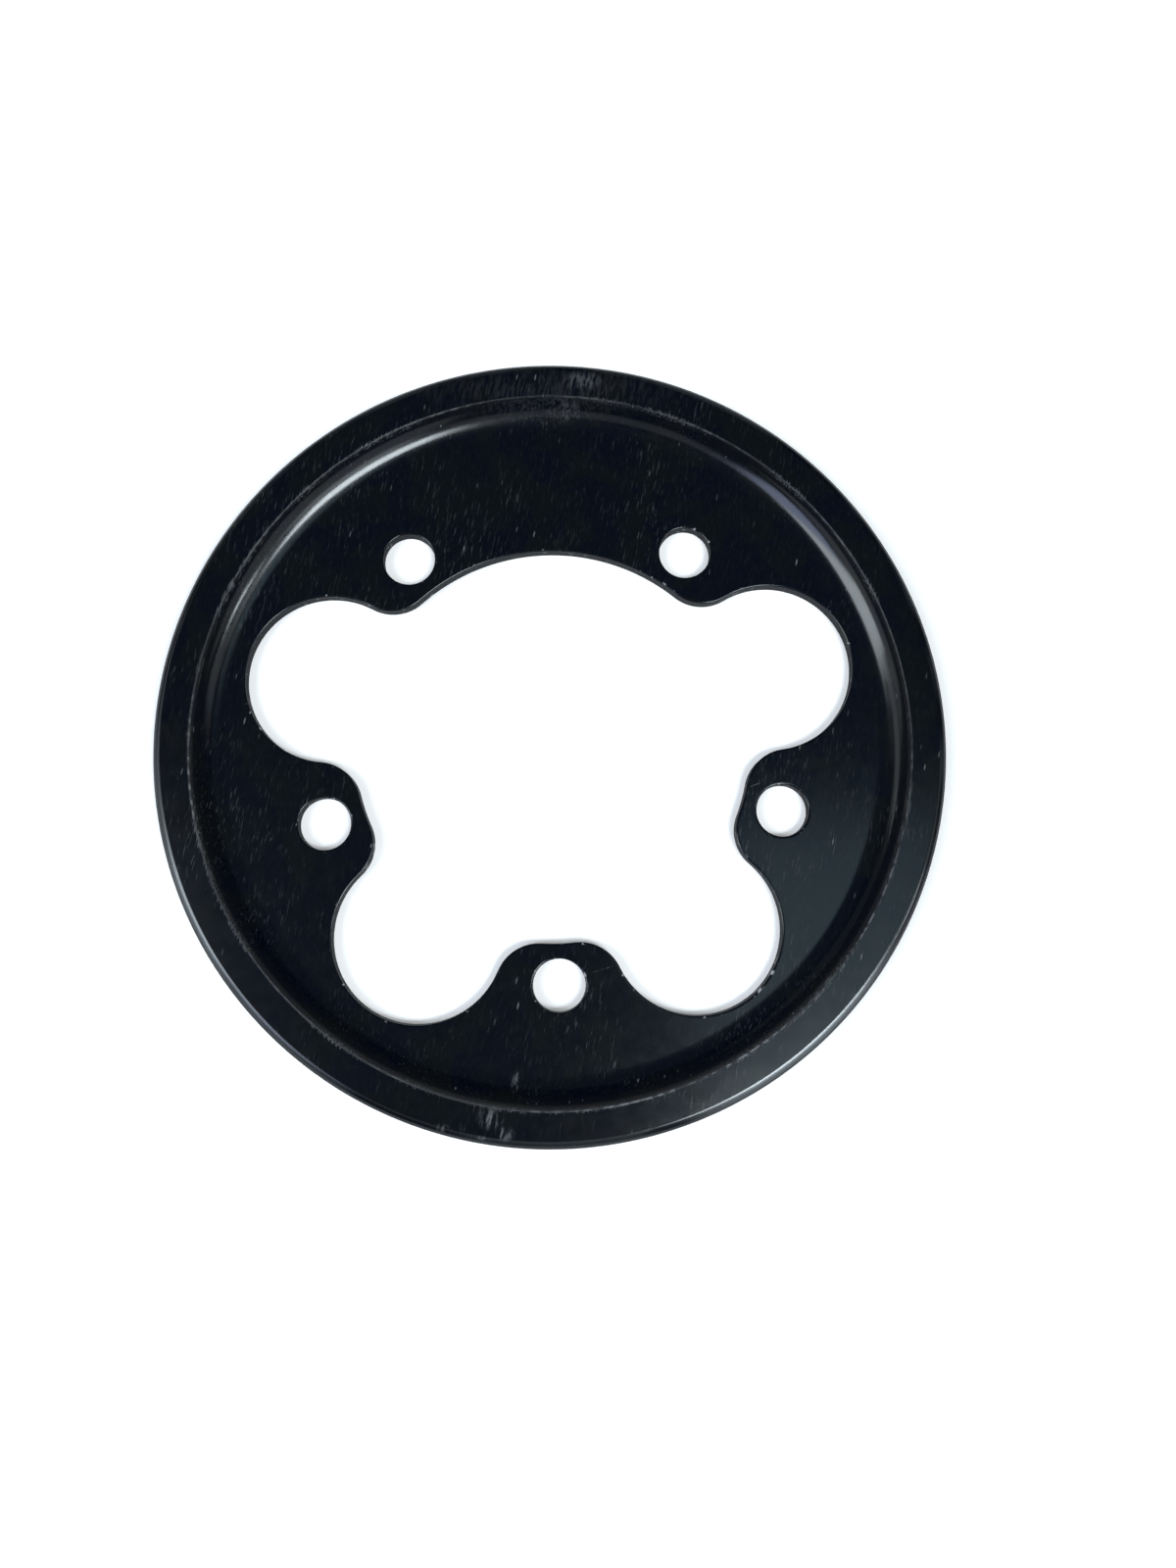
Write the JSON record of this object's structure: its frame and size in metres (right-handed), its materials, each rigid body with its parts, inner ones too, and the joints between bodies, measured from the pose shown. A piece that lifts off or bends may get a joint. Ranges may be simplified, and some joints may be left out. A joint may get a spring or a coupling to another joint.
{
  "type": "chainring guard",
  "caption": "Flat round chainring guard with a raised rim, a cove down to a recessed web, bolt holes on tabs and a scalloped central opening.",
  "frame": {"origin": "ring axis at the flat back face", "axes": "+Z along the ring axis out of the front face, +Y through the plain gap between two bolt tabs"},
  "size_m": [0.1544, 0.1544, 0.0063],
  "materials": {
    "black_anodised": "satin black anodised, worn to bare metal along the rim's inner edge"
  },
  "bodies": {
    "root": {"guard_ring": "black_anodised"}
  },
  "joints": []
}
